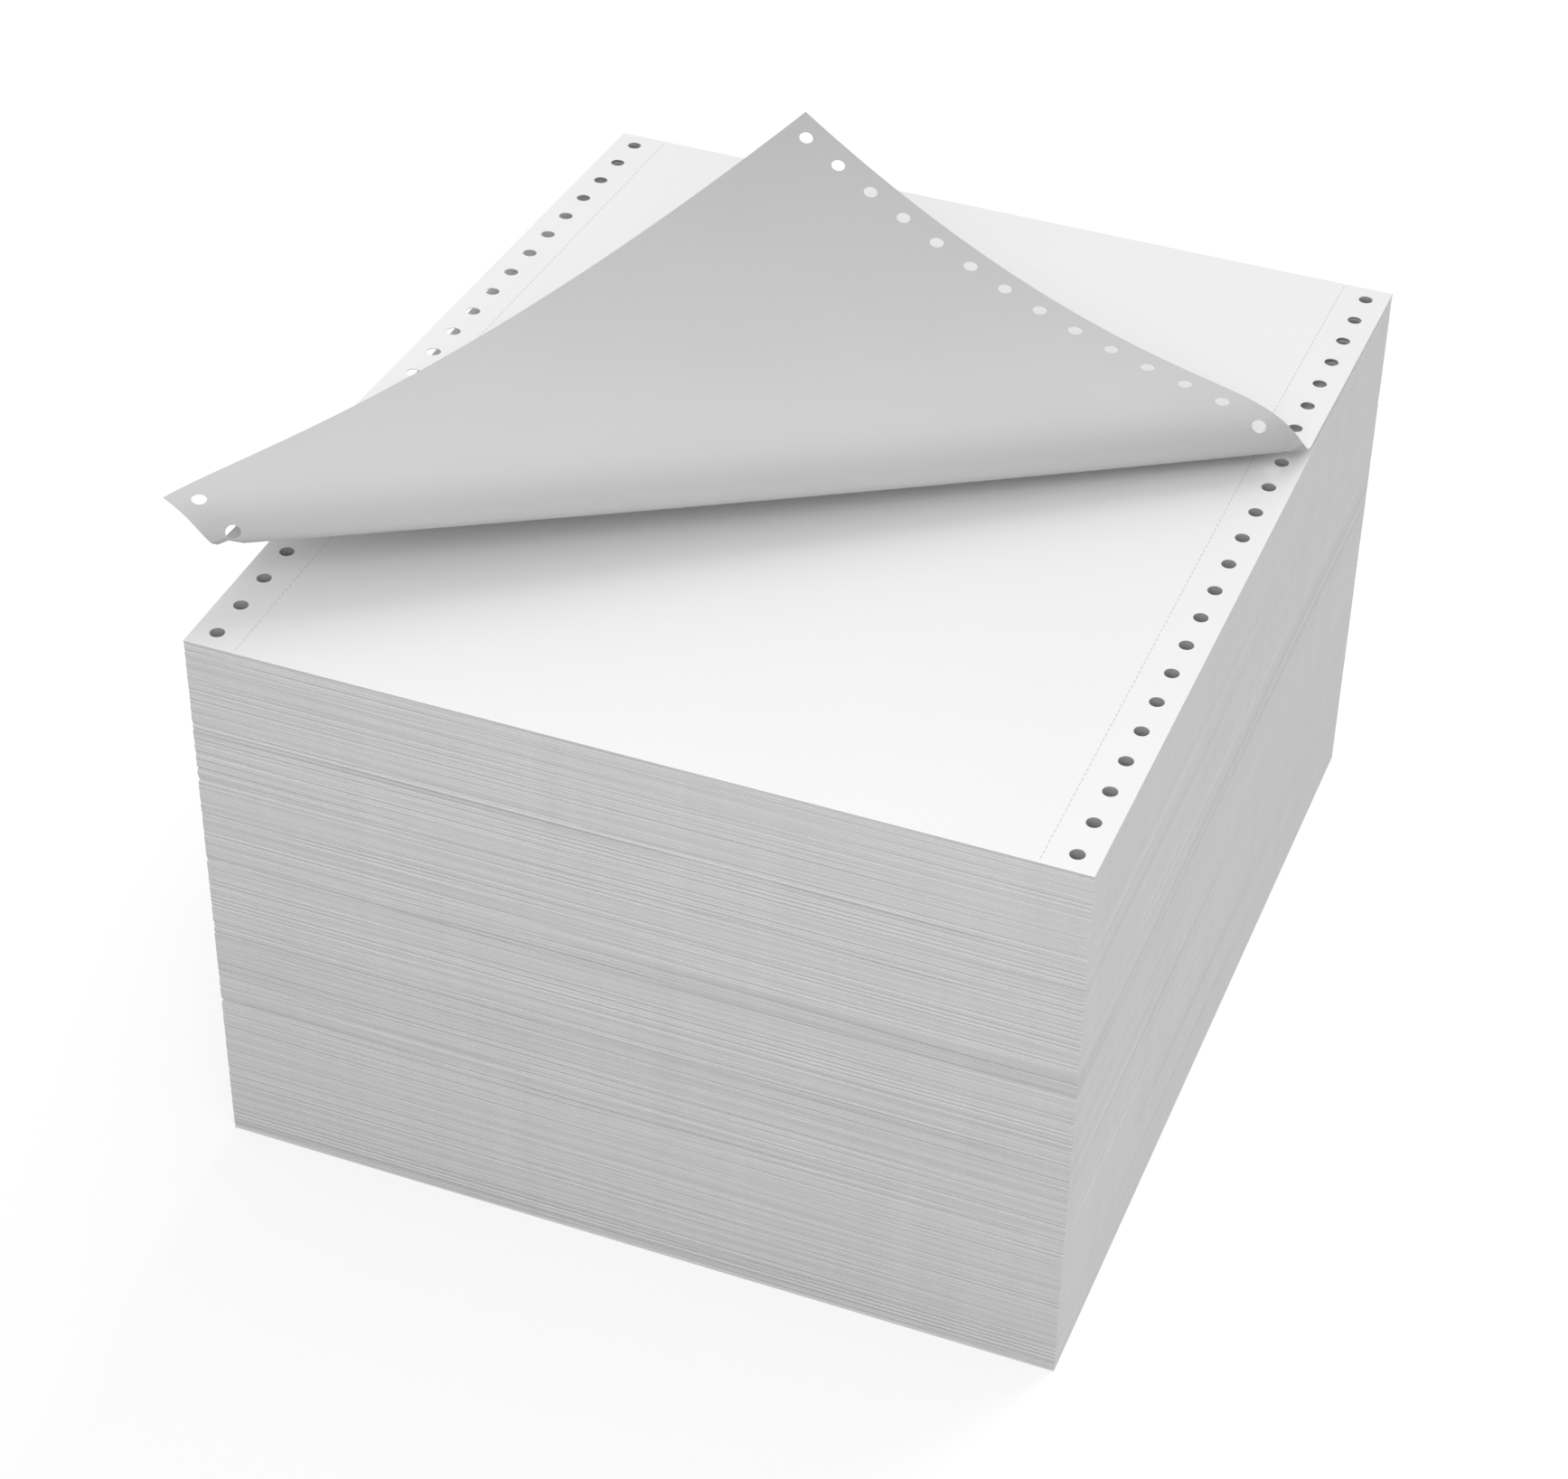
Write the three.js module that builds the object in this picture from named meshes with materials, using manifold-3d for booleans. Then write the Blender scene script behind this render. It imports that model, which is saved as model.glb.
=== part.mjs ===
// A pack of continuous fanfold printer paper: one web folded zigzag into a block, its top page lifted and curled.
// Millimetres, +Z up, the front folds at -Y, the origin at the centre of the flat underside.
import * as THREE from "three";
import { mergeVertices } from "three/addons/utils/BufferGeometryUtils.js";
import Module from "manifold-3d";

// The web
const pageWidth = 241.3; // across the web, 9 1/2 inches
const pageLength = 279.4; // from fold to fold, 11 inches
const sheetThickness = 0.2;
const holeDiameter = 4;
const holePitch = 12.7; // along both side margins
const holeFromFold = 6.35; // centre of a page's first hole to its fold
const holeFromEdge = 6.35; // centre of the holes to the cut edge
const holeSides = 8;

// The tear-off lines, scored beside the margins with holes
const tearFromEdge = 14;
const tearWidth = 0.3;
const tearDepth = 0.12;

// The folded pack
const packHeight = 170;
const foldPitch = 1.7; // height of a bundle of pages that folds as one ridge
const foldRelief = 0.3; // depth of the grooves between the ridges
const foldScatter = 0.2; // how much the grooves differ from one another in depth
const bandRelief = 0.5; // extra depth where the bundles stand apart
const bandHeight = 23; // from one band of deeper grooves to the next
const foldCrest = 0.6; // share of a ridge's height that is crest

// The lifted top page
const bendHeading = 34.7; // degrees from the front edge to the line that the corner turns about
const bendInset = 18; // how far inside the front left corner the turn begins
const bendTurn = 192; // degrees that the corner turns through
const bendReach = 7; // distance over which most of the turn is made
const cornerRelax = 0.277; // degrees for each millimetre by which the turned corner opens again
const liftLeft = 0.06; // rise of the left edge for each millimetre from the rear fold
const liftRight = 0.035; // the same at the right edge
const foldRadius = 0.45; // of the opened rear fold that carries the page
const foldInset = 0.4; // from the pack's rear and side faces to that fold
const pageClear = 0.3; // from the pack up to the page's middle layer at that fold
const bendSteps = 12; // strips across the turn
const flatSteps = 3; // strips across each flat stretch
const stripParts = 4; // parts along a strip

const wasm = await Module();
wasm.setup();

const halfWidth = pageWidth / 2;
const halfLength = pageLength / 2;

// A closed three.js geometry as a solid that can be joined and cut.
function solidOf(geometry) {
  const bare = geometry.clone();
  bare.deleteAttribute("normal");
  bare.deleteAttribute("uv");
  const merged = mergeVertices(bare, 1e-4);
  return new wasm.Manifold(
    new wasm.Mesh({
      numProp: 3,
      vertProperties: merged.attributes.position.array,
      triVerts: new Uint32Array(merged.index.array),
    }),
  );
}

// A solid back as a three.js geometry.
function geometryOf(solid) {
  const mesh = solid.getMesh();
  const geometry = new THREE.BufferGeometry();
  geometry.setAttribute("position", new THREE.BufferAttribute(new Float32Array(mesh.vertProperties), 3));
  geometry.setIndex(new THREE.BufferAttribute(new Uint32Array(mesh.triVerts), 1));
  geometry.computeVertexNormals();
  return geometry;
}

// Depth of the groove at a height: fine everywhere, deeper in bands where the bundles stand apart.
function grooveDepth(height) {
  const band = Math.sin((Math.PI * height) / bandHeight + 1.3 * Math.sin((3 * height) / bandHeight));
  const scatter = Math.sin((2.399 * height) / foldPitch);
  return foldRelief + foldScatter * scatter ** 2 + bandRelief * band ** 6;
}

// The pack's side outline: the folds at the front and the rear are rows of ridges, half a ridge out of step.
function packOutline() {
  const ridges = Math.round(packHeight / foldPitch);
  const pitch = packHeight / ridges;
  const crest = (foldCrest * pitch) / 2;
  const outline = new THREE.Shape();
  outline.moveTo(-halfLength, 0);
  outline.lineTo(halfLength, 0);
  for (let i = 1; i <= ridges; i += 1) {
    const groove = (i - 0.5) * pitch;
    outline.lineTo(halfLength, groove - pitch / 2 + crest);
    outline.lineTo(halfLength - grooveDepth(groove), groove);
    outline.lineTo(halfLength, groove + pitch / 2 - crest);
  }
  outline.lineTo(halfLength, packHeight);
  outline.lineTo(-halfLength, packHeight);
  for (let i = ridges - 1; i >= 1; i -= 1) {
    const groove = i * pitch;
    outline.lineTo(-halfLength, groove + pitch / 2 - crest);
    outline.lineTo(-halfLength + grooveDepth(groove), groove);
    outline.lineTo(-halfLength, groove - pitch / 2 + crest);
  }
  return outline;
}

// The outline is drawn in Y and Z, and runs across the web along X.
function foldedPack() {
  const geometry = new THREE.ExtrudeGeometry(packOutline(), { depth: pageWidth, steps: 1, bevelEnabled: false });
  geometry.rotateX(Math.PI / 2).rotateZ(Math.PI / 2);
  geometry.translate(-halfWidth, 0, 0);
  return solidOf(geometry);
}

// The centres of the feed holes on a flat page.
function holeCentres() {
  const count = Math.floor((pageLength - 2 * holeFromFold) / holePitch + 1e-6) + 1;
  const centres = [];
  for (const side of [-1, 1]) {
    for (let i = 0; i < count; i += 1) {
      centres.push(new THREE.Vector2(side * (halfWidth - holeFromEdge), -halfLength + holeFromFold + i * holePitch));
    }
  }
  return centres;
}

// A round punch of a given length, centred on a place and pointing along an axis.
function punch(length, place, axis) {
  const geometry = new THREE.CylinderGeometry(holeDiameter / 2, holeDiameter / 2, length, holeSides);
  const turn = new THREE.Quaternion().setFromUnitVectors(new THREE.Vector3(0, 1, 0), axis);
  geometry.applyQuaternion(turn);
  geometry.translate(place.x, place.y, place.z);
  return solidOf(geometry);
}

// The scored line beside each margin on the pack's top page.
function tearLine(side) {
  const geometry = new THREE.BoxGeometry(tearWidth, 2 * pageLength, 2 * tearDepth);
  geometry.translate(side * (halfWidth - tearFromEdge), 0, packHeight);
  return solidOf(geometry);
}

// The line that the corner turns about, and the direction across it towards the turned corner.
const heading = THREE.MathUtils.degToRad(bendHeading);
const alongBend = new THREE.Vector2(Math.cos(heading), Math.sin(heading));
const acrossBend = new THREE.Vector2(Math.sin(heading), -Math.cos(heading));
const frontLeft = new THREE.Vector2(-halfWidth, -halfLength);

// How far a point of the flat page lies past the start of the turn.
function pastBend(point) {
  return point.clone().sub(frontLeft).dot(acrossBend) + bendInset;
}

// The slope of the page at a distance past the start of the turn.
function slopeAt(distance) {
  if (distance <= 0) return 0;
  const turned = bendTurn * (1 - Math.exp(-distance / bendReach));
  return THREE.MathUtils.degToRad(turned - cornerRelax * distance);
}

// Where the page gets to across the turn, summed in short steps: x is the way across it and y the height.
function profileAt(distance) {
  if (distance <= 0) return new THREE.Vector2(distance, 0);
  const steps = 400;
  const step = distance / steps;
  const end = new THREE.Vector2();
  for (let i = 0; i < steps; i += 1) {
    const slope = slopeAt((i + 0.5) * step);
    end.x += Math.cos(slope) * step;
    end.y += Math.sin(slope) * step;
  }
  return end;
}

// How far the page is lifted off the pack at a place.
function liftAt(x, y) {
  const fromRear = halfLength - y;
  return fromRear * THREE.MathUtils.lerp(liftLeft, liftRight, (x + halfWidth) / pageWidth);
}

// A point of the flat page, at a height above its middle layer, in its place on the lifted page.
function lifted(point, above) {
  const along = point.clone().sub(frontLeft).dot(alongBend);
  const distance = pastBend(point);
  const slope = slopeAt(distance);
  const profile = profileAt(distance);
  const across = profile.x - above * Math.sin(slope) - bendInset;
  const x = frontLeft.x + along * alongBend.x + across * acrossBend.x;
  const y = frontLeft.y + along * alongBend.y + across * acrossBend.y;
  const base = packHeight + pageClear;
  return new THREE.Vector3(x, y, base + profile.y + above * Math.cos(slope) + liftAt(x, y));
}

// The direction square to the lifted page at a point.
function facing(point) {
  return lifted(point, 1).sub(lifted(point, -1)).normalize();
}

// The two ends of the line across the page that lies a given distance past the start of the turn.
function lineAcross(distance) {
  const start = frontLeft.clone().addScaledVector(acrossBend, distance - bendInset);
  const entering = [(-halfWidth - start.x) / alongBend.x, (-halfLength - start.y) / alongBend.y];
  const leaving = [(halfWidth - start.x) / alongBend.x, (halfLength - start.y) / alongBend.y];
  return [Math.max(...entering), Math.min(...leaving)].map((way) =>
    start.clone().addScaledVector(alongBend, way),
  );
}

// The distances at which the page is divided into strips: dense in the turn, wide in the flat stretches.
function stripEdges() {
  const corners = [
    new THREE.Vector2(-halfWidth, halfLength),
    new THREE.Vector2(halfWidth, halfLength),
    frontLeft,
    new THREE.Vector2(halfWidth, -halfLength),
  ].map(pastBend);
  const far = corners[3];
  const turnEnd = 4 * bendReach;
  const stops = [...corners, 0, turnEnd].sort((a, b) => a - b);
  const edges = [];
  for (let i = 0; i + 1 < stops.length; i += 1) {
    const span = stops[i + 1] - stops[i];
    const inTurn = stops[i] >= 0 && stops[i] < turnEnd;
    const parts = inTurn ? Math.ceil((bendSteps * span) / turnEnd) : flatSteps;
    for (let j = 0; j < parts; j += 1) edges.push(stops[i] + (span * j) / parts);
  }
  edges.push(far);
  return edges;
}

// The lifted page as a closed thin sheet: strips along the turn, an upper and a lower skin, and the edge between.
function liftedPage() {
  const edges = stripEdges();
  const row = stripParts + 1;
  const positions = [];
  for (const above of [sheetThickness / 2, -sheetThickness / 2]) {
    for (const distance of edges) {
      const [start, end] = lineAcross(distance);
      for (let j = 0; j < row; j += 1) {
        positions.push(...lifted(start.clone().lerp(end, j / stripParts), above).toArray());
      }
    }
  }
  const lower = edges.length * row;
  const faces = [];
  const quad = (a, b, c, d) => faces.push(a, b, c, a, c, d);
  for (let i = 0; i + 1 < edges.length; i += 1) {
    for (let j = 0; j < stripParts; j += 1) {
      const a = i * row + j;
      quad(a, a + row, a + row + 1, a + 1);
      quad(lower + a, lower + a + 1, lower + a + row + 1, lower + a + row);
    }
    const left = i * row;
    const right = left + stripParts;
    quad(left, lower + left, lower + left + row, left + row);
    quad(right, right + row, lower + right + row, lower + right);
  }
  const geometry = new THREE.BufferGeometry();
  geometry.setAttribute("position", new THREE.BufferAttribute(new Float32Array(positions), 3));
  geometry.setIndex(faces);
  return solidOf(withoutSlivers(geometry));
}

// The rear fold that joins the page to the rest of the web, as a round bead along the pack's rear edge.
function rearFold() {
  const geometry = new THREE.CylinderGeometry(foldRadius, foldRadius, pageWidth - 2 * foldInset, holeSides);
  geometry.rotateZ(Math.PI / 2);
  geometry.translate(0, halfLength - foldRadius - foldInset, packHeight + pageClear / 2);
  return solidOf(geometry);
}

// Merges doubled points and drops the faces that have closed up, as at the page's two sharp ends.
function withoutSlivers(geometry) {
  const merged = mergeVertices(geometry, 1e-4);
  const index = merged.index.array;
  const kept = [];
  for (let i = 0; i < index.length; i += 3) {
    const [a, b, c] = [index[i], index[i + 1], index[i + 2]];
    if (a !== b && b !== c && a !== c) kept.push(a, b, c);
  }
  merged.setIndex(kept);
  return merged;
}

let pack = foldedPack();
for (const side of [-1, 1]) pack = pack.subtract(tearLine(side));
let page = liftedPage();
const up = new THREE.Vector3(0, 0, 1);
const shortPunch = 6 * sheetThickness;
for (const centre of holeCentres()) {
  pack = pack.subtract(punch(3 * packHeight, new THREE.Vector3(centre.x, centre.y, packHeight / 2), up));
  page = page.subtract(punch(shortPunch, lifted(centre, 0), facing(centre)));
}

const paper = new THREE.MeshStandardMaterial({ color: 0xf2f2f0, roughness: 0.85, metalness: 0 });
const web = new THREE.Mesh(geometryOf(pack.add(rearFold()).add(page)), paper);
web.name = "fanfold_pack";

const group = new THREE.Group();
group.add(web);

export default group;
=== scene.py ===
import math

import bpy
import bmesh
import numpy as np
from mathutils import Matrix, Vector
from mathutils.geometry import delaunay_2d_cdt


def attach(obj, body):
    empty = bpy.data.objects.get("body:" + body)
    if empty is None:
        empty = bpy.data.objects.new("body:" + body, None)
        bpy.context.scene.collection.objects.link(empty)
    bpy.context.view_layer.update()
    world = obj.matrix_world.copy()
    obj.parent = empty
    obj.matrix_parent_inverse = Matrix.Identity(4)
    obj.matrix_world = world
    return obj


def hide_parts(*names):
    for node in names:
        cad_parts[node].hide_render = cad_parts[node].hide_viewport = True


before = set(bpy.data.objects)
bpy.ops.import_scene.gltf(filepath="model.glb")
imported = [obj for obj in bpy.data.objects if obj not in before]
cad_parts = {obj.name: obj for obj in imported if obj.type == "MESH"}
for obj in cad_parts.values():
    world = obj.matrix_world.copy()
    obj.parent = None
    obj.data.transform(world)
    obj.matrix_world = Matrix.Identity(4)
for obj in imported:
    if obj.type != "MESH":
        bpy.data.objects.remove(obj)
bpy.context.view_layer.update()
print("frame loaded")

mm = 0.001

# The web and its feed holes, in millimetres
web = {
    "width": 241.3,
    "pageLength": 279.4,
    "thickness": 0.2,
    "holeDiameter": 4.0,
    "holePitch": 12.7,
    "holeFromFold": 6.35,
    "holeFromEdge": 6.35,
    "holeSides": 20,
    "tearFromEdge": 14.0,
}
halfWidth = web["width"] / 2
halfLength = web["pageLength"] / 2
holeCount = int((web["pageLength"] - 2 * web["holeFromFold"]) / web["holePitch"] + 1e-6) + 1

# Small helpers for objects and node trees


def addObject(name, data):
    made = bpy.data.objects.new(name, data)
    bpy.context.scene.collection.objects.link(made)
    return made


def addNode(tree, kind, **settings):
    made = tree.nodes.new(kind)
    for name, value in settings.items():
        setattr(made, name, value)
    return made


def feed(tree, socket, value):
    # a socket is linked, anything else is set as the socket's own value
    if isinstance(value, bpy.types.NodeSocket):
        tree.links.new(value, socket)
    elif value is not None:
        socket.default_value = value


def calc(tree, operation, first, second=None, third=None):
    made = addNode(tree, "ShaderNodeMath", operation=operation)
    for socket, value in zip(made.inputs, (first, second, third)):
        feed(tree, socket, value)
    return made.outputs[0]


def noiseOn(tree, vector, scale=1.0, detail=2.0, roughness=0.5):
    made = addNode(tree, "ShaderNodeTexNoise")
    feed(tree, made.inputs["Vector"], vector)
    made.inputs["Scale"].default_value = scale
    made.inputs["Detail"].default_value = detail
    made.inputs["Roughness"].default_value = roughness
    return made.outputs[0]


def stretched(tree, vector, factors):
    made = addNode(tree, "ShaderNodeVectorMath", operation="MULTIPLY")
    feed(tree, made.inputs[0], vector)
    made.inputs[1].default_value = factors
    return made.outputs[0]


def remap(tree, value, given, wanted, smooth=False):
    # carries a value from the given range over to the wanted one
    made = addNode(tree, "ShaderNodeMapRange")
    if smooth:
        made.interpolation_type = "SMOOTHSTEP"
    for socket, each in zip(made.inputs, (value, *given, *wanted)):
        feed(tree, socket, each)
    return made.outputs[0]


def seenDirectly(tree):
    # 1 for what the camera sees, also by reflection or through something clear
    path = addNode(tree, "ShaderNodeLightPath")
    seen = calc(tree, "MAXIMUM", path.outputs["Is Camera Ray"], path.outputs["Is Glossy Ray"])
    return calc(tree, "MAXIMUM", seen, path.outputs["Is Transmission Ray"])


# Materials

noiseMiddle = (0.2, 0.8)  # the range that most of a noise's values lie in
gloss = 0.25


def newMaterial(name):
    made = bpy.data.materials.new(name)
    made.use_nodes = True
    tree = made.node_tree
    shader = tree.nodes["Principled BSDF"]
    shader.inputs["Specular IOR Level"].default_value = gloss
    place = addNode(tree, "ShaderNodeTexCoord").outputs["Object"]
    return made, tree, shader, place


def colourBetween(tree, shader, factor, dark, light):
    mixed = addNode(tree, "ShaderNodeMix", data_type="RGBA")
    feed(tree, mixed.inputs["Factor"], factor)
    mixed.inputs[6].default_value = dark
    mixed.inputs[7].default_value = light
    feed(tree, shader.inputs["Base Color"], mixed.outputs[2])


def bumpFrom(tree, shader, height, strength, distance):
    bump = addNode(tree, "ShaderNodeBump")
    bump.inputs["Strength"].default_value = strength
    bump.inputs["Distance"].default_value = distance
    feed(tree, bump.inputs["Height"], height)
    feed(tree, shader.inputs["Normal"], bump.outputs[0])


sheetLooks = {
    "faceLight": (0.86, 0.86, 0.86, 1),
    "faceDark": (0.825, 0.825, 0.83, 1),
    # the underside's colours: painted shade, the face's paper made darker
    "backShadeLight": (0.60, 0.60, 0.60, 1),
    "backShadeDark": (0.54, 0.54, 0.545, 1),
    "mottleScale": 16.0,
    "mottleDetail": 3.0,
    "mottleShare": 0.7,
    "fibreScale": 900.0,
    "fibreDetail": 4.0,
    "fibreRoughness": 0.65,
    "fibreShare": 0.3,
    "roughness": (0.72, 0.9),
    "bumpStrength": 0.12,
    "bumpDepth": 0.00006,
}


def sheetMaterial(name, light, dark):
    # uncoated paper: soft cloudy tone, fine fibres in the colour, the roughness and the bump
    looks = sheetLooks
    made, tree, shader, place = newMaterial(name)
    mottle = noiseOn(tree, place, looks["mottleScale"], looks["mottleDetail"])
    fibres = noiseOn(tree, place, looks["fibreScale"], looks["fibreDetail"], looks["fibreRoughness"])
    cloudy = calc(tree, "MULTIPLY", mottle, looks["mottleShare"])
    tone = calc(tree, "ADD", cloudy, calc(tree, "MULTIPLY", fibres, looks["fibreShare"]))
    colourBetween(tree, shader, tone, dark, light)
    feed(tree, shader.inputs["Roughness"], remap(tree, fibres, noiseMiddle, looks["roughness"]))
    bumpFrom(tree, shader, fibres, looks["bumpStrength"], looks["bumpDepth"])
    return made


edgeLooks = {
    # base colours a little darker than the face: partly painted shade of the pack's sides
    "light": (0.80, 0.80, 0.80, 1),
    "dark": (0.64, 0.64, 0.645, 1),
    "fineStretch": (5, 5, 1700),
    "fineDetail": 3.0,
    "lineStretch": (4, 4, 420),
    "bandStretch": (2, 2, 34),
    "streakStretch": (150, 150, 9),
    "streakDetail": 3.0,
    "noiseRoughness": 0.6,
    "lineRange": (0.34, 0.52),
    "bandRange": (0.46, 0.60),
    "fineShare": 0.5,
    "streakShare": 0.4,
    "baseTone": 0.22,
    "gapShadeDepth": 0.45,
    "roughness": (0.78, 0.95),
    "bumpStrength": 0.35,
    "bumpDepth": 0.00012,
}


def edgeMaterial():
    # the stacked page edges: fine level lines and faint upright streaks in the paper's own tone; the
    # darker lines in bands are painted shade in the gaps between folded bundles, and the base, a little
    # darker than the face, is partly painted shade of the pack's sides
    looks = edgeLooks
    rough = looks["noiseRoughness"]
    made, tree, shader, place = newMaterial("pageEdges")
    fine = noiseOn(tree, stretched(tree, place, looks["fineStretch"]), 1.0, looks["fineDetail"], rough)
    lines = noiseOn(tree, stretched(tree, place, looks["lineStretch"]))
    bands = noiseOn(tree, stretched(tree, place, looks["bandStretch"]), detail=1.0)
    upright = stretched(tree, place, looks["streakStretch"])
    streaks = noiseOn(tree, upright, 1.0, looks["streakDetail"], rough)
    lines = remap(tree, lines, looks["lineRange"], (0.0, 1.0), smooth=True)
    bands = remap(tree, bands, looks["bandRange"], (0.0, 1.0), smooth=True)
    # painted shade: lines darkened in bands, where the gaps between folded bundles lie in shade
    darker = calc(tree, "MULTIPLY", calc(tree, "SUBTRACT", 1.0, lines), bands)
    tone = calc(tree, "MULTIPLY", fine, looks["fineShare"])
    tone = calc(tree, "ADD", tone, calc(tree, "MULTIPLY", streaks, looks["streakShare"]))
    tone = calc(tree, "ADD", tone, looks["baseTone"])
    tone = calc(tree, "SUBTRACT", tone, calc(tree, "MULTIPLY", darker, looks["gapShadeDepth"]))
    colourBetween(tree, shader, tone, looks["dark"], looks["light"])
    feed(tree, shader.inputs["Roughness"], remap(tree, fine, noiseMiddle, looks["roughness"]))
    bumpFrom(tree, shader, fine, looks["bumpStrength"], looks["bumpDepth"])
    return made


cutLooks = {
    # painted shade: the hole walls far darker than the paper
    "hole": (0.50, 0.50, 0.50, 1),
    # painted shade: the tear-off cuts grey where the paper is white
    "tear": (0.66, 0.66, 0.66, 1),
    "darker": 0.8,  # how the darkest layers compare with the colour
    "layerStretch": (60, 60, 1500),
    "roughness": (0.85, 0.95),
}


def cutMaterial(name, colour):
    # the cut paper inside the holes and in the tear-off cuts, darkened as painted shade in these recesses;
    # the layers vary at random
    made, tree, shader, place = newMaterial(name)
    layers = noiseOn(tree, stretched(tree, place, cutLooks["layerStretch"]))
    darker = tuple(cutLooks["darker"] * c for c in colour[:3]) + (1,)
    colourBetween(tree, shader, layers, darker, colour)
    feed(tree, shader.inputs["Roughness"], remap(tree, layers, noiseMiddle, cutLooks["roughness"]))
    return made


paperFace = sheetMaterial("pageFace", sheetLooks["faceLight"], sheetLooks["faceDark"])
# the lifted page's underside: a darker copy of the face's paper, painted shade
paperBackPaintedShade = sheetMaterial("pageBackPaintedShade", sheetLooks["backShadeLight"], sheetLooks["backShadeDark"])
paperEdge = edgeMaterial()
# the holes' walls: painted shade, far darker than the paper
holeWallShade = cutMaterial("holeWallPaintedShade", cutLooks["hole"])
# the tear-off cuts: painted shade, grey where the paper is white
tearCutShade = cutMaterial("tearCutShade", cutLooks["tear"])
print("materials made")

# Geometry node trees


def newTree(name, inputs):
    tree = bpy.data.node_groups.new(name, "GeometryNodeTree")
    tree.interface.new_socket("Geometry", in_out="INPUT", socket_type="NodeSocketGeometry")
    tree.interface.new_socket("Geometry", in_out="OUTPUT", socket_type="NodeSocketGeometry")
    for label, kind in inputs:
        tree.interface.new_socket(label, in_out="INPUT", socket_type="NodeSocket" + kind)
    return tree, addNode(tree, "NodeGroupInput"), addNode(tree, "NodeGroupOutput")


def closeTree(tree, geometry, given, end):
    # every tree ends in real geometry with its material on it
    real = addNode(tree, "GeometryNodeRealizeInstances")
    feed(tree, real.inputs["Geometry"], geometry)
    dressed = addNode(tree, "GeometryNodeSetMaterial")
    feed(tree, dressed.inputs["Geometry"], real.outputs[0])
    feed(tree, dressed.inputs["Material"], given.outputs["Material"])
    feed(tree, end.inputs["Geometry"], dressed.outputs[0])


def runTree(name, mesh, tree, values):
    # runs the tree on a mesh and gives back the plain mesh that comes out
    holder = addObject(name, mesh)
    modifier = holder.modifiers.new(name, "NODES")
    modifier.node_group = tree
    for item in tree.interface.items_tree:
        if item.in_out == "INPUT" and item.name in values:
            modifier[item.identifier] = values[item.name]
    bpy.context.view_layer.update()
    evaluated = holder.evaluated_get(bpy.context.evaluated_depsgraph_get())
    result = bpy.data.meshes.new_from_object(evaluated)
    bpy.data.objects.remove(holder)
    return result


def vectorOf(tree, x=None, y=None, z=None):
    made = addNode(tree, "ShaderNodeCombineXYZ")
    for socket, value in zip(made.inputs, (x, y, z)):
        feed(tree, socket, value)
    return made.outputs[0]


def rowsTree(name, shape):
    # a shape repeated on two rows of points, one along each margin
    inputs = [("Across", "Float"), ("Pitch", "Float"), ("Count", "Int"), ("Height", "Float"),
              ("Width", "Float"), ("Length", "Float"), ("Depth", "Float"), ("Sides", "Int"),
              ("Material", "Material")]
    tree, given, end = newTree(name, inputs)
    grid = addNode(tree, "GeometryNodeMeshGrid")
    spans = calc(tree, "SUBTRACT", given.outputs["Count"], 1.0)
    feed(tree, grid.inputs["Size X"], given.outputs["Across"])
    feed(tree, grid.inputs["Size Y"], calc(tree, "MULTIPLY", spans, given.outputs["Pitch"]))
    grid.inputs["Vertices X"].default_value = 2
    feed(tree, grid.inputs["Vertices Y"], given.outputs["Count"])
    raised = addNode(tree, "GeometryNodeTransform")
    feed(tree, raised.inputs["Geometry"], grid.outputs["Mesh"])
    feed(tree, raised.inputs["Translation"], vectorOf(tree, z=given.outputs["Height"]))
    placed = addNode(tree, "GeometryNodeInstanceOnPoints")
    feed(tree, placed.inputs["Points"], raised.outputs[0])
    feed(tree, placed.inputs["Instance"], shape(tree, given))
    closeTree(tree, placed.outputs[0], given, end)
    return tree


def boreShape(tree, given):
    # an open tube that shows its inside
    tube = addNode(tree, "GeometryNodeMeshCylinder", fill_type="NONE")
    feed(tree, tube.inputs["Vertices"], given.outputs["Sides"])
    feed(tree, tube.inputs["Radius"], calc(tree, "MULTIPLY", given.outputs["Width"], 0.5))
    feed(tree, tube.inputs["Depth"], given.outputs["Depth"])
    turned = addNode(tree, "GeometryNodeFlipFaces")
    feed(tree, turned.inputs[0], tube.outputs["Mesh"])
    return turned.outputs[0]


def cutShape(tree, given):
    # one short cut of the tear-off line
    cut = addNode(tree, "GeometryNodeMeshCube")
    size = vectorOf(tree, given.outputs["Width"], given.outputs["Length"], given.outputs["Depth"])
    feed(tree, cut.inputs["Size"], size)
    return cut.outputs["Mesh"]


reliefForm = {
    "rowStart": 0.02,  # keeps the levels at a row's edge inside that row
    "grooveSharpness": 4.0,
    "leastRelief": 0.3,  # share of the relief that every row has
    "rowStep": 1.37,  # sets the second random number apart from the first
    "bandStretch": (1.5, 1.5, 42),
    "bandRange": (0.42, 0.58),
    "fadeAlong": 14.0,
    "fadeByRow": 0.61,
    "fadeRange": (0.35, 0.6),
    "oddness": 5.0,  # the higher, the fewer rows stand apart
    "wanderScale": 22.0,
}


def namedAttribute(tree, name, kind):
    made = addNode(tree, "GeometryNodeInputNamedAttribute", data_type=kind)
    made.inputs["Name"].default_value = name
    return made.outputs[0]


def chanceOf(tree, number):
    made = addNode(tree, "ShaderNodeTexWhiteNoise", noise_dimensions="1D")
    feed(tree, made.inputs["W"], number)
    return made.outputs["Value"]


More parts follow.
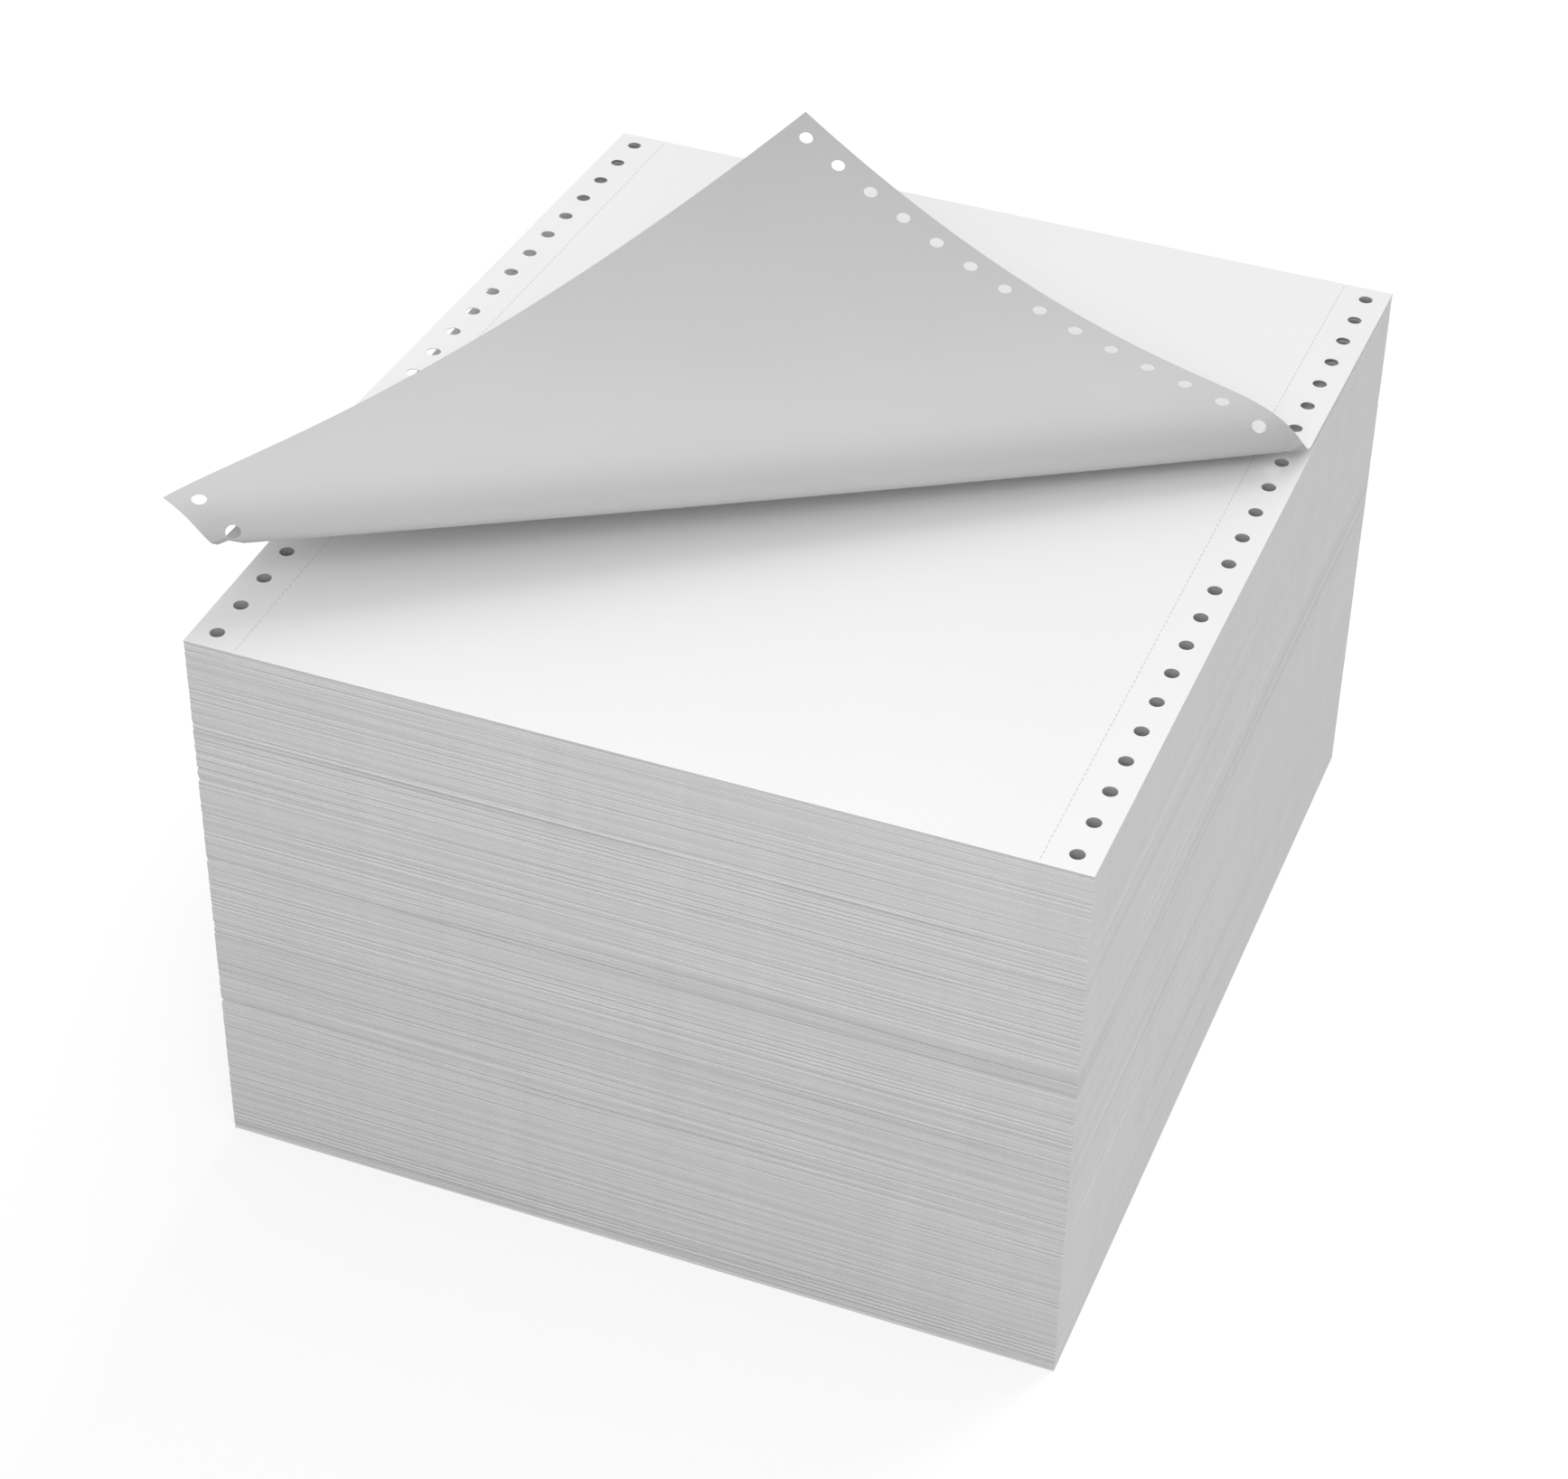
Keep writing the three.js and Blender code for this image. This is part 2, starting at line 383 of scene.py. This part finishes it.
def reliefTree():
    # presses the folds' grooves into the pack's plain walls: fine in every row, deep in bands of odd rows
    inputs = [("Row Height", "Float"), ("Relief", "Float"), ("Gap", "Float"), ("Shift", "Float"),
              ("Wander", "Float"), ("Seed", "Float"), ("Material", "Material")]
    form = reliefForm
    tree, given, end = newTree("foldRelief", inputs)
    outward = namedAttribute(tree, "outward", "FLOAT_VECTOR")
    weight = namedAttribute(tree, "pressed", "FLOAT")
    place = addNode(tree, "GeometryNodeInputPosition").outputs[0]
    parts = addNode(tree, "ShaderNodeSeparateXYZ")
    feed(tree, parts.inputs[0], place)
    rows = calc(tree, "DIVIDE", parts.outputs["Z"], given.outputs["Row Height"])
    rows = calc(tree, "ADD", rows, form["rowStart"])
    row = calc(tree, "FLOOR", rows)
    phase = calc(tree, "MULTIPLY_ADD", calc(tree, "SUBTRACT", rows, row), 2.0, -1.0)
    groove = calc(tree, "POWER", calc(tree, "ABSOLUTE", phase), form["grooveSharpness"])
    chance = chanceOf(tree, calc(tree, "ADD", row, given.outputs["Seed"]))
    other = calc(tree, "ADD", calc(tree, "MULTIPLY", row, form["rowStep"]), given.outputs["Seed"])
    other = chanceOf(tree, other)
    bands = noiseOn(tree, stretched(tree, place, form["bandStretch"]), detail=1.0)
    bands = remap(tree, bands, form["bandRange"], (0.0, 1.0), smooth=True)
    sides = calc(tree, "ADD", parts.outputs["X"], parts.outputs["Y"])
    fadeX = calc(tree, "MULTIPLY", sides, form["fadeAlong"])
    fadeY = calc(tree, "MULTIPLY", row, form["fadeByRow"])
    fade = noiseOn(tree, vectorOf(tree, fadeX, fadeY), detail=1.0)
    fade = remap(tree, fade, form["fadeRange"], (0.0, 1.0), smooth=True)
    deep = calc(tree, "MULTIPLY", calc(tree, "POWER", chance, form["oddness"]), bands)
    deep = calc(tree, "MULTIPLY", calc(tree, "MULTIPLY", deep, fade), given.outputs["Gap"])
    varied = calc(tree, "MULTIPLY_ADD", other, 1 - form["leastRelief"], form["leastRelief"])
    pressed = calc(tree, "MULTIPLY", groove, calc(tree, "MULTIPLY", given.outputs["Relief"], varied))
    pressed = calc(tree, "ADD", pressed, deep)
    shift = calc(tree, "MULTIPLY", calc(tree, "MULTIPLY", other, fade), given.outputs["Shift"])
    wander = calc(tree, "MULTIPLY", noiseOn(tree, place, form["wanderScale"]), given.outputs["Wander"])
    total = calc(tree, "ADD", pressed, calc(tree, "ADD", shift, wander))
    total = calc(tree, "MULTIPLY", calc(tree, "MULTIPLY", total, weight), -1.0)
    push = addNode(tree, "ShaderNodeVectorMath", operation="SCALE")
    feed(tree, push.inputs[0], outward)
    feed(tree, push.inputs["Scale"], total)
    moved = addNode(tree, "GeometryNodeSetPosition")
    feed(tree, moved.inputs["Geometry"], given.outputs["Geometry"])
    feed(tree, moved.inputs["Offset"], push.outputs[0])
    closeTree(tree, moved.outputs[0], given, end)
    return tree


# Flat pages and walls

sameHole = 1e-3  # millimetres by which a rim's point may miss its circle
leastTurn = 1e-7  # flatter triangles are left out
samePoint = 1e-5  # millimetres within which two points are taken as one


def rectangleLoop(xParts, yParts):
    # points round the page, counter-clockwise from the front left corner, each with its side's number
    xs = np.linspace(-halfWidth, halfWidth, xParts + 1)
    ys = np.linspace(-halfLength, halfLength, yParts + 1)
    loop = [(x, -halfLength, 0) for x in xs[:-1]] + [(halfWidth, y, 1) for y in ys[:-1]]
    return loop + [(x, halfLength, 2) for x in xs[:0:-1]] + [(-halfWidth, y, 3) for y in ys[:0:-1]]


def ringFaces(n, rings):
    # the faces between rings of n points each, one ring after another
    return [(k * n + i, k * n + (i + 1) % n, (k + 1) * n + (i + 1) % n, (k + 1) * n + i)
            for k in range(rings - 1) for i in range(n)]


def holeCentres():
    across = halfWidth - web["holeFromEdge"]
    first = -halfLength + web["holeFromFold"]
    return [(side * across, first + i * web["holePitch"]) for side in (-1, 1) for i in range(holeCount)]


def holeRing(centre):
    turns = [2 * math.pi * i / web["holeSides"] for i in range(web["holeSides"])]
    radius = web["holeDiameter"] / 2
    return [(centre[0] + radius * math.cos(t), centre[1] + radius * math.sin(t)) for t in turns]


def flatPage(outline, creases):
    # triangles of a flat page with its holes left out, with edges along every crease
    points = [Vector(p) for p in outline]
    edges = [(i, (i + 1) % len(points)) for i in range(len(points))]
    for ring in map(holeRing, holeCentres()):
        start = len(points)
        points += [Vector(p) for p in ring]
        edges += [(start + i, start + (i + 1) % len(ring)) for i in range(len(ring))]
    for crease in creases:
        start = len(points)
        points += [Vector(p) for p in crease]
        edges += [(start + i, start + i + 1) for i in range(len(crease) - 1)]
    places, _, faces, _, _, _ = delaunay_2d_cdt(points, edges, [], 0, samePoint)
    flat = np.array([tuple(p) for p in places])
    away = np.linalg.norm(flat[:, None, :] - np.array(holeCentres())[None], axis=2)
    hole = np.where(away.min(1) < web["holeDiameter"] / 2 + sameHole, away.argmin(1), -1)
    kept = []
    for a, b, c in faces:
        if hole[a] >= 0 and hole[a] == hole[b] == hole[c]:
            continue
        (ax, ay), (bx, by), (cx, cy) = flat[a], flat[b], flat[c]
        turn = (bx - ax) * (cy - ay) - (by - ay) * (cx - ax)
        if abs(turn) > leastTurn:
            kept.append((a, b, c) if turn > 0 else (a, c, b))
    return flat, kept


# The folded pack

packForm = {
    "height": 170.0,
    "rowHeight": 0.68,  # one row is one bundle of folded pages
    "levelsPerRow": 3,
    "frontParts": 44,
    "sideParts": 14,
    "sideShare": 0.16,  # how much of the relief the cut side faces take
    "relief": 0.22,
    "gap": 0.75,
    "shift": 0.18,
    "wander": 0.25,
    "seed": 7.0,
    "weldReach": 0.02,
}


def packLoop():
    # the pack's outline seen from above, with the way out of each wall
    share = packForm["sideShare"]
    front, side = packForm["frontParts"], packForm["sideParts"]
    ways = ((0.0, -1.0), (share, 0.0), (0.0, 1.0), (-share, 0.0))
    loop = [(x, y) + ways[wall] for x, y, wall in rectangleLoop(front, side)]
    corners = {0: (-share, -1.0), front: (share, -1.0), front + side: (share, 1.0),
               2 * front + side: (-share, 1.0)}
    for place, out in corners.items():
        loop[place] = loop[place][:2] + out
    return loop


def packWalls(loop):
    rows = round(packForm["height"] / packForm["rowHeight"])
    rowHeight = packForm["height"] / rows
    levels = rows * packForm["levelsPerRow"] + 1
    heights = np.arange(levels) * rowHeight / packForm["levelsPerRow"]
    verts, outward, pressed = [], [], []
    for level, z in enumerate(heights):
        inside = 0.0 if level in (0, levels - 1) else 1.0
        for x, y, outX, outY in loop:
            verts.append((x * mm, y * mm, z * mm))
            outward += [outX, outY, 0.0]
            pressed.append(inside)
    mesh = bpy.data.meshes.new("packWalls")
    mesh.from_pydata(verts, [], ringFaces(len(loop), levels))
    mesh.attributes.new("outward", "FLOAT_VECTOR", "POINT").data.foreach_set("vector", outward)
    mesh.attributes.new("pressed", "FLOAT", "POINT").data.foreach_set("value", pressed)
    values = {"Row Height": rowHeight * mm, "Relief": packForm["relief"] * mm, "Gap": packForm["gap"] * mm,
              "Shift": packForm["shift"] * mm, "Wander": packForm["wander"] * mm, "Seed": packForm["seed"],
              "Material": paperEdge}
    return runTree("packWalls", mesh, reliefTree(), values)


def packBores():
    values = {"Across": 2 * (halfWidth - web["holeFromEdge"]) * mm, "Pitch": web["holePitch"] * mm,
              "Count": holeCount, "Height": packForm["height"] / 2 * mm, "Width": web["holeDiameter"] * mm,
              "Depth": packForm["height"] * mm, "Sides": web["holeSides"], "Material": holeWallShade}
    return runTree("packBores", bpy.data.meshes.new("points"), rowsTree("boreRows", boreShape), values)


def addFaces(target, mesh, slot):
    # adds a mesh's faces to a bmesh, all with one material slot
    start = len(target.faces)
    target.from_mesh(mesh)
    target.faces.ensure_lookup_table()
    for face in target.faces[start:]:
        face.material_index = slot


def buildPack():
    loop = packLoop()
    target = bmesh.new()
    addFaces(target, packWalls(loop), 0)
    addFaces(target, packBores(), 2)
    flat, triangles = flatPage([(x, y) for x, y, _, _ in loop], [])
    for z, turned in ((packForm["height"], False), (0.0, True)):
        leaf = bpy.data.meshes.new("leaf")
        leaf.from_pydata([(x * mm, y * mm, z * mm) for x, y in flat], [],
                         [t[::-1] if turned else t for t in triangles])
        addFaces(target, leaf, 1)
    bmesh.ops.remove_doubles(target, verts=target.verts, dist=packForm["weldReach"] * mm)
    mesh = bpy.data.meshes.new("foldedPack")
    target.to_mesh(mesh)
    target.free()
    for material in (paperEdge, paperFace, holeWallShade):
        mesh.materials.append(material)
    return addObject("foldedPack", mesh)


foldedPack = buildPack()
print("folded pack:", len(foldedPack.data.polygons), "faces")

# The lifted top page, bent as in the frame

pageForm = {
    "heading": 34.7,  # degrees from the front edge to the line that the corner turns about
    "inset": 18.0,  # how far inside the front left corner the turn begins
    "turn": 192.0,  # degrees
    "reach": 7.0,  # distance over which most of the turn is made
    "reaches": 4,  # after as many of them the turn is as good as made
    "relax": 0.277,  # degrees for each millimetre by which the turned corner opens again
    "liftLeft": 0.06,
    "liftRight": 0.035,
    "clear": 0.3,
    "turnCreases": 34,
    "flapCreases": 26,
    "rearCreases": 12,
    "creaseStep": 7.0,
    "outlineStep": 3.0,
    "profileStep": 0.05,
    "profileEnd": 320.0,
    "sharpAngle": 35.0,
}
heading = math.radians(pageForm["heading"])
alongBend = np.array([math.cos(heading), math.sin(heading)])
acrossBend = np.array([math.sin(heading), -math.cos(heading)])
frontLeft = np.array([-halfWidth, -halfLength])


def pastBend(flat):
    return (flat - frontLeft) @ acrossBend + pageForm["inset"]


def slopeAt(distance):
    ahead = np.maximum(distance, 0)
    turned = pageForm["turn"] * (1 - np.exp(-ahead / pageForm["reach"]))
    return np.radians(turned - pageForm["relax"] * ahead)


profileStep = pageForm["profileStep"]
profileStops = np.arange(0, pageForm["profileEnd"], profileStep)
profileSlopes = slopeAt(profileStops + profileStep / 2)
profileAcross = np.concatenate([[0], np.cumsum(np.cos(profileSlopes[:-1])) * profileStep])
profileUp = np.concatenate([[0], np.cumsum(np.sin(profileSlopes[:-1])) * profileStep])


def liftPage(flat, above):
    # points of the flat page, each at a height above its middle layer, in their place on the lifted page
    along = (flat - frontLeft) @ alongBend
    distance = pastBend(flat)
    slope = slopeAt(distance)
    across = np.where(distance > 0, np.interp(distance, profileStops, profileAcross), distance)
    up = np.where(distance > 0, np.interp(distance, profileStops, profileUp), 0)
    across = across - above * np.sin(slope) - pageForm["inset"]
    xy = frontLeft + along[:, None] * alongBend + across[:, None] * acrossBend
    share = (xy[:, 0] + halfWidth) / web["width"]
    lift = (halfLength - xy[:, 1]) * (pageForm["liftLeft"] * (1 - share) + pageForm["liftRight"] * share)
    z = packForm["height"] + pageForm["clear"] + up + above * np.cos(slope) + lift
    return np.column_stack([xy, z])


def creaseAt(distance):
    # the line across the page at a distance past the start of the turn
    start = frontLeft + acrossBend * (distance - pageForm["inset"])
    entering = max((-halfWidth - start[0]) / alongBend[0], (-halfLength - start[1]) / alongBend[1])
    leaving = min((halfWidth - start[0]) / alongBend[0], (halfLength - start[1]) / alongBend[1])
    parts = max(1, int((leaving - entering) / pageForm["creaseStep"]))
    inner = np.linspace(entering, leaving, parts + 1)[1:-1]
    return [tuple(start + alongBend * way) for way in inner]


def pageCreases():
    corners = np.array([[-halfWidth, halfLength], [halfWidth, -halfLength]])
    rear, far = pastBend(corners)
    turnEnd = pageForm["reaches"] * pageForm["reach"]
    stops = np.concatenate([np.linspace(rear, 0, pageForm["rearCreases"])[1:-1],
                            np.linspace(0, turnEnd, pageForm["turnCreases"]),
                            np.linspace(turnEnd, far, pageForm["flapCreases"])[1:-1]])
    return [crease for crease in map(creaseAt, stops) if len(crease) > 1]


def buildTopPage():
    step = pageForm["outlineStep"]
    loop = rectangleLoop(int(web["width"] / step), int(web["pageLength"] / step))
    flat, triangles = flatPage([(x, y) for x, y, _ in loop], pageCreases())
    half = web["thickness"] / 2
    verts = np.vstack([liftPage(flat, half), liftPage(flat, -half)]) * mm
    n = len(flat)
    sides = dict.fromkeys(edge for a, b, c in triangles for edge in ((a, b), (b, c), (c, a)))
    walls = [(b, a, a + n, b + n) for a, b in sides if (b, a) not in sides]  # edges of one triangle only
    faces = list(triangles) + [(a + n, c + n, b + n) for a, b, c in triangles] + walls
    mesh = bpy.data.meshes.new("topPage")
    mesh.from_pydata(verts.tolist(), [], faces)
    # the underside takes the darker copy of the paper, which is painted shade
    for material in (paperFace, paperBackPaintedShade):
        mesh.materials.append(material)
    slots = [0] * len(triangles) + [1] * len(triangles) + [0] * len(walls)
    mesh.polygons.foreach_set("material_index", slots)
    mesh.polygons.foreach_set("use_smooth", [True] * len(faces))
    mesh.set_sharp_from_angle(angle=math.radians(pageForm["sharpAngle"]))
    return addObject("topPage", mesh)


foldForm = {
    "sides": 8,
    "stations": 13,
    "hollowDepth": 1.2,  # from the pack's rear face to the hollow's round end
    "hollowReach": 0.4,
    "hollowRise": 0.04,
}


def fixNormals(mesh):
    target = bmesh.new()
    target.from_mesh(mesh)
    bmesh.ops.recalc_face_normals(target, faces=target.faces)
    target.to_mesh(mesh)
    target.free()


def buildRearFold():
    # the opened fold at the rear: a thin half loop from the pack's top round to the lifted page
    middle = pageForm["clear"] / 2
    radius = middle + web["thickness"] / 2
    hollow = halfLength - foldForm["hollowDepth"]
    turns = np.linspace(-math.pi / 2, math.pi / 2, foldForm["sides"] + 1)
    section = [(halfLength + radius * math.cos(t), middle + radius * math.sin(t)) for t in turns]
    reach, rise = foldForm["hollowReach"], foldForm["hollowRise"]
    section += [(hollow + reach * math.cos(t), middle + rise * math.sin(t)) for t in turns[::-1]]
    stations = np.linspace(-halfWidth, halfWidth, foldForm["stations"])
    verts = [(x * mm, y * mm, (packForm["height"] + z) * mm) for x in stations for y, z in section]
    n = len(section)
    last = (len(stations) - 1) * n
    faces = ringFaces(n, len(stations))
    faces += [tuple(range(n))[::-1], tuple(last + i for i in range(n))]
    mesh = bpy.data.meshes.new("rearFold")
    mesh.from_pydata(verts, [], faces)
    mesh.materials.append(paperFace)
    fixNormals(mesh)
    return addObject("rearFold", mesh)


topPage = buildTopPage()
rearFold = buildRearFold()
print("top page:", len(topPage.data.polygons), "faces")

# The tear-off lines: short cuts in a row beside each margin, on the pack and on the lifted page

tearForm = {
    "pitch": 2.1,
    "length": 1.3,
    "width": 0.22,
    "depth": 0.24,
    "sunk": 0.09,  # from the pack's top down to the middle of the cuts
}


def tearRows():
    count = int(web["pageLength"] / tearForm["pitch"]) - 1
    values = {"Across": 2 * (halfWidth - web["tearFromEdge"]) * mm, "Pitch": tearForm["pitch"] * mm,
              "Count": count, "Height": 0.0, "Width": tearForm["width"] * mm,
              "Length": tearForm["length"] * mm, "Depth": tearForm["depth"] * mm, "Material": tearCutShade}
    return runTree("tearRows", bpy.data.meshes.new("points"), rowsTree("tearRows", cutShape), values)


def onPack(points):
    return points + (0, 0, packForm["height"] - tearForm["sunk"])


def onTopPage(points):
    return liftPage(points[:, :2], points[:, 2])


def buildTearCuts(name, place):
    mesh = tearRows()
    flat = np.empty(3 * len(mesh.vertices))
    mesh.vertices.foreach_get("co", flat)
    mesh.vertices.foreach_set("co", place(flat.reshape(-1, 3) / mm).ravel() * mm)
    mesh.update()
    return addObject(name, mesh)


packCuts = buildTearCuts("packTearCuts", onPack)
pageCuts = buildTearCuts("pageTearCuts", onTopPage)
print("tear-off cuts:", len(packCuts.data.polygons) + len(pageCuts.data.polygons), "faces")

# Floor, lights and camera, in metres and degrees

white = (1, 1, 1, 1)
floorForm = {
    "size": 12.0,
    "colour": (0.40, 0.40, 0.40, 1),
    "glow": 0.64,  # brings the floor up to white where the camera sees it
    "roughness": 0.9,
}


def buildFloor():
    size = floorForm["size"]
    corners = [(-size, -size, 0), (size, -size, 0), (size, size, 0), (-size, size, 0)]
    mesh = bpy.data.meshes.new("floor")
    mesh.from_pydata(corners, [], [(0, 1, 2, 3)])
    made = bpy.data.materials.new("floorSheet")
    made.use_nodes = True
    tree = made.node_tree
    shader = tree.nodes["Principled BSDF"]
    shader.inputs["Base Color"].default_value = floorForm["colour"]
    shader.inputs["Roughness"].default_value = floorForm["roughness"]
    shader.inputs["Emission Color"].default_value = white
    glow = calc(tree, "MULTIPLY", seenDirectly(tree), floorForm["glow"])
    feed(tree, shader.inputs["Emission Strength"], glow)
    mesh.materials.append(made)
    addObject("floor", mesh)


lightForm = {
    "world": 0.61,
    "sunPower": 2.1,
    "sunHeight": 24.0,
    "sunFrom": 165.0,  # 0 is the front, 180 the rear
    "sunSpread": 45.0,
    "panelPower": 1.35,
    "panelSize": 0.5,
    "panelPlace": (0.07, -0.55, 0.60),
    "panelAim": (0.0, -0.10, 0.08),
}


def buildLights():
    world = bpy.data.worlds.new("studio")
    bpy.context.scene.world = world
    world.use_nodes = True
    tree = world.node_tree
    background = tree.nodes["Background"]
    background.inputs["Color"].default_value = white
    strength = remap(tree, seenDirectly(tree), (0.0, 1.0), (lightForm["world"], 1.0))
    feed(tree, background.inputs["Strength"], strength)
    sun = bpy.data.lights.new("sun", "SUN")
    sun.energy = lightForm["sunPower"]
    sun.angle = math.radians(lightForm["sunSpread"])
    up = math.radians(lightForm["sunHeight"])
    around = math.radians(lightForm["sunFrom"])
    sunWay = Vector((math.sin(around) * math.cos(up), -math.cos(around) * math.cos(up), math.sin(up)))
    panel = bpy.data.lights.new("panel", "AREA")
    panel.energy = lightForm["panelPower"]
    panel.size = lightForm["panelSize"]
    panelPlace = Vector(lightForm["panelPlace"])
    panelWay = panelPlace - Vector(lightForm["panelAim"])
    for light, place, back in ((sun, sunWay, sunWay), (panel, panelPlace, panelWay)):
        lamp = addObject(light.name, light)
        lamp.location = place
        lamp.rotation_euler = back.to_track_quat("Z", "Y").to_euler()


cameraForm = {
    "azimuth": 20.94,
    "elevation": 38.34,
    "roll": 0.94,
    "distance": 1.081,
    "aimHeight": 0.0853,
    "aimRight": -0.0108,
    "aimUp": -0.0100,
    "focal": 4212.0,  # in pixels of an image of the width below
    "imageWidth": 1735.0,
    "sensor": 36.0,
    "farthest": 100.0,
}


def buildCamera():
    az, el, roll = (math.radians(cameraForm[name]) for name in ("azimuth", "elevation", "roll"))
    back = Vector((math.sin(az) * math.cos(el), -math.cos(az) * math.cos(el), math.sin(el)))
    level = Vector((math.cos(az), math.sin(az), 0))
    upright = back.cross(level)
    right = level * math.cos(roll) + upright * math.sin(roll)
    up = upright * math.cos(roll) - level * math.sin(roll)
    data = bpy.data.cameras.new("camera")
    data.sensor_width = cameraForm["sensor"]
    data.lens = cameraForm["focal"] / cameraForm["imageWidth"] * cameraForm["sensor"]
    data.clip_end = cameraForm["farthest"]
    aim = Vector((0, 0, cameraForm["aimHeight"]))
    aim += right * cameraForm["aimRight"] + up * cameraForm["aimUp"]
    place = aim + back * cameraForm["distance"]
    rows = [(right[i], up[i], back[i], place[i]) for i in range(3)] + [(0, 0, 0, 1)]
    camera = addObject("camera", data)
    camera.matrix_world = Matrix(rows)
    bpy.context.scene.camera = camera


buildFloor()
buildLights()
buildCamera()
bpy.context.scene.view_settings.view_transform = "Standard"
print("stage set")

for piece in (foldedPack, topPage, rearFold, packCuts, pageCuts):
    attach(piece, "root")
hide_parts("fanfold_pack")
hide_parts("fanfold_pack")
